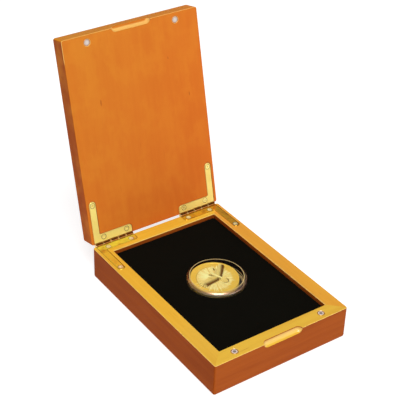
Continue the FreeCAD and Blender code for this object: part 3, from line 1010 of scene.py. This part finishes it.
def coinSkin(look):
    low, high = (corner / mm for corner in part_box("coin"))
    radius = (high.x - low.x) / 2
    middle = np.array([(low.x + high.x) / 2, (low.y + high.y) / 2])
    count = look["angles"]
    none = np.zeros(count)
    angles = np.arange(count) * math.tau / count
    chance = np.random.default_rng(look["seed"])
    rayOf = (np.arange(count) * look["rays"] // count).astype(int)
    ridge = np.sin(math.pi * ((np.arange(count) * look["rays"] / count) % 1))
    least = look["rayLeast"]
    rayRise = (least + (1 - least) * chance.random(look["rays"]))[rayOf] * ridge
    rayStart, rayEnd = (
        (nearest + spread * chance.random(look["rays"]))[rayOf]
        for nearest, spread in (look["rayStart"], look["rayEnd"])
    )
    # the rays are quieter to the left
    quiet = 0.5 - 0.5 * np.cos(np.clip(np.abs(angles - math.pi) / look["quietRun"], 0, 1) * math.pi)
    quiet = look["quietLeast"] + (1 - look["quietLeast"]) * quiet
    inner = radius - look["rimWidth"]

    def flat(r):
        # the plain profile from the middle out: dish, border, step, rim
        rimFoot, rimRun = look["rimRun"]
        step = np.clip((r - (inner - rimFoot)) / rimRun, 0, 1)
        border = np.clip((r - (look["borderInner"] - look["borderRun"])) / look["borderRun"], 0, 1)
        dish = look["dish"] * (1 - (np.minimum(r, look["borderInner"]) / look["borderInner"]) ** 2)
        return -(look["rimHeight"] * (1 - step) + look["borderHeight"] * (1 - border) + dish)

    def topRing(r):
        x, y = r * np.cos(angles), r * np.sin(angles)
        fadeIn, fadeOut = look["rayFade"]
        fade = np.clip((r - rayStart) / fadeIn, 0, 1) * np.clip((rayEnd - r) / fadeOut, 0, 1) * quiet
        bird = deep = dropShadow = none
        if r < inner - look["reliefGap"]:
            bird, deep = soaringBird(x, y)
            dropShadow = soaringBird(x - look["shadowOffset"], y + look["shadowOffset"])[0]
        height = flat(np.full(count, r)) + np.where(bird > 0, bird, look["rayRise"] * rayRise * fade)
        # painted highlight: the field is painted paler than the border, most of all to the left, with the
        # rays as painted light lines
        field = float(np.clip((look["borderInner"] - r) / look["fieldRun"], 0, 1))
        shineX, shineY = look["shineCentre"]
        off = np.hypot(x - shineX, (y - shineY) * look["shineSquash"])
        shine = np.clip(look["shineMost"] - off / look["shineReach"], 0, 1)
        plain, gain = look["fieldGlint"]
        rayGain, rayFrom = look["rayGlint"]
        glint = field * (plain + gain * shine) + rayGain * (rayRise - rayFrom) * fade
        plain, gain, birdFrom = look["birdGlint"]
        glint = np.where(bird > 0, plain + gain * (bird - birdFrom), glint)
        # painted shade: thin dark lines between the rays, where the border steps down to the left, and a
        # painted drop shadow under the relief
        crease = math.exp(-(((r - look["borderInner"]) / look["lineWidth"]) ** 2))
        crease = look["line"] * crease * np.clip(-np.cos(angles), 0, 1)
        groove = look["groove"] * fade * np.clip(0.5 - ridge, 0, 1)
        deep = np.maximum.reduce([deep, crease, np.where(bird > 0, 0, groove)])
        deep = np.where((dropShadow > 0) & (bird == 0), look["dropShadowTone"], deep)
        return x, y, np.minimum(height, 0), deep, np.clip(glint, 0, 1)

    def backRing(r):
        # plain rays, a ring of beads outside them and a round boss in the middle
        first, last = look["backRays"]
        rays = look["backRayRise"] * ridge * np.clip(r - first, 0, 1) * np.clip(last - r, 0, 1)
        beads = look["beadRise"] * math.exp(-(((r - look["beadRing"]) / look["beadWidth"]) ** 2))
        beads = beads * np.clip(np.cos(angles * look["beads"]), 0, 1)
        boss = look["bossRise"] * math.exp(-((r / look["bossWidth"]) ** 4))
        return r * np.cos(angles), r * np.sin(angles), flat(np.full(count, r)) + rays + beads + boss

    topRadii = [*np.linspace(*look["fieldRings"]), *np.linspace(*look["stepRings"]), *look["rimRings"]]
    backRadii = [*look["backRimRings"], *np.linspace(*look["backRings"])]
    reeds = look["reedDepth"] * (0.5 - 0.5 * np.cos(angles * look["reeds"]))
    # the coin leans back in its well, so its underside is lifted to stay off the floor
    bottom = low.z + radius * look["lean"]
    rings, tones, relief = [], [], []

    def addRing(x, y, z, deep=none, paintedGlint=none):
        spin = math.radians(look["turn"])
        u = middle[0] + x * math.cos(spin) - y * math.sin(spin)
        v = middle[1] + x * math.sin(spin) + y * math.cos(spin)
        rings.append(np.column_stack([u, v, z + y * look["lean"]]) * mm)
        tones.append(deep)
        relief.append(paintedGlint)

    def bevel(r):
        return max(0.0, r - look["bevelFrom"]) * look["bevelDrop"]

    for r in topRadii:
        x, y, height, deep, paintedGlint = topRing(r)
        addRing(x, y, high.z + height - bevel(r), deep, paintedGlint)
    for share, reedShare in look["edgeRings"]:
        r = radius - reeds * reedShare
        edge = np.full(count, high.z + (bottom - high.z) * share)
        addRing(r * np.cos(angles), r * np.sin(angles), edge)
    for r in backRadii:
        x, y, height = backRing(r)
        addRing(x, y, bottom - height + bevel(r))
    topHeight = soaringBird(np.zeros(1), np.zeros(1))[0]
    centre = float(flat(np.zeros(1))[0])
    start = (*middle, high.z + min(0.0, centre + float(topHeight[0])))
    end = (*middle, bottom - centre - look["bossRise"])
    # rings run outward on top, so their order is turned for faces that look out
    mesh = ringMesh("coin_struck", rings, np.array(start) * mm, np.array(end) * mm)
    mesh.flip_normals()
    for name, values in (("tone", tones), ("relief", relief)):
        field = mesh.attributes.new(name, "FLOAT", "POINT")
        field.data.foreach_set("value", np.concatenate(values + [np.zeros(2)]).astype(np.float32))
    mesh.set_sharp_from_angle(angle=math.radians(50))
    return mesh


# the gold glows faintly in its own colour: painted light
goldFinish = Finish("struck gold", {
    "Metallic": coinLook["metallic"],
    "Specular IOR Level": coinLook["specular"],
    "Emission Strength": coinLook["paintedGlow"],
})
# the tone attribute carries painted shade, which darkens the gold
tone = goldFinish.node("Attribute", {"attribute_name": "tone"}, out="Fac")
# this attribute carries painted glints, which pale the gold and raise its roughness
relief = goldFinish.node("Attribute", {"attribute_name": "relief"}, out="Fac")
frostAndGlint = goldFinish.noise(goldFinish.place, coinLook["frostScale"], 2, 0.6)
cloud = goldFinish.noise(goldFinish.place, coinLook["cloudScale"], 2, 0.5)
glintAndCloud = relief + (cloud - 0.5) * coinLook["cloudShare"]
plainGold = goldFinish.mix(glintAndCloud, coinLook["gold"], coinLook["goldGlint"])
shadeShare, shadeFrost = coinLook["shadeShare"]
goldPaint = goldFinish.mix(tone * (shadeShare + frostAndGlint * shadeFrost), plainGold, coinLook["goldShade"])
roughSpan = coinLook["reliefRoughness"] - coinLook["fieldRoughness"]
roughGold = coinLook["fieldRoughness"] + relief * roughSpan
goldFinish.set({
    "Base Color": goldPaint,
    "Emission Color": goldPaint,
    "Roughness": roughGold + (cloud - 0.5) * coinLook["cloudRoughness"],
    "Normal": goldFinish.bump(frostAndGlint * relief, coinLook["frostDepth"], 0.5),
})
addPiece("coin_struck", coinSkin(coinLook), "capsule", "gold", goldFinish, "coin")
print("coin and capsule finished")

studio = {
    "aim": (0.0, 0.03, 0.04),
    "key": {"watts": 50, "size": (1.4, 1.4), "from": (-0.22, -0.46, 0.86), "distance": 2.4},
    "card": {"watts": 1.6, "size": (0.9, 0.5), "from": (0.49, -0.84, 0.18), "distance": 1.2},
    "skyStops": [
        (0.50, (0.80, 0.80, 0.80)),
        (0.58, (0.50, 0.50, 0.50)),
        (0.70, (0.20, 0.20, 0.20)),
        (1.00, (0.12, 0.12, 0.12)),
    ],
    "floorSize": 8.0,
    "floorDrop": 0.0001,
    "floorColour": (0.48, 0.48, 0.48),
    "floorGlow": 0.76,
}


def addLight(name, look):
    data = bpy.data.lights.new(name, "AREA")
    data.shape = "RECTANGLE"
    data.size, data.size_y = look["size"]
    data.energy = look["watts"]
    lamp = bpy.data.objects.new(name, data)
    towards = Vector(look["from"]).normalized()
    lamp.location = Vector(studio["aim"]) + towards * look["distance"]
    lamp.rotation_euler = towards.to_track_quat("Z", "Y").to_euler()
    scene.collection.objects.link(lamp)


addLight("key softbox", studio["key"])
addLight("front card", studio["card"])

world = bpy.data.worlds.new("studio")
scene.world = world
sky = Tree(world)
height = sky.node("SeparateXYZ", {}, {"Vector": sky.node("TexCoord", out="Generated")}, "Z") * 0.5 + 0.5
shade = sky.node("ValToRGB", {"stops": studio["skyStops"]}, {"Fac": height})
sky.plug(sky.nodes["Background"], "Color", shade)

floorMesh = bpy.data.meshes.new("floor")
half = studio["floorSize"] / 2
corners = [(-half, -half, 0), (half, -half, 0), (half, half, 0), (-half, half, 0)]
floorMesh.from_pydata(corners, [], [(0, 1, 2, 3)])
floor = bpy.data.objects.new("floor", floorMesh)
floor.location.z = -studio["floorDrop"]
scene.collection.objects.link(floor)
floorFinish = Finish("pale floor", {
    "Base Color": studio["floorColour"],
    "Roughness": 0.9,
    "Specular IOR Level": 0.0,
    "Emission Color": (1, 1, 1),
    "Emission Strength": studio["floorGlow"],
})
floorMesh.materials.append(floorFinish.material)
scene.view_settings.view_transform = "Standard"
print("studio set")
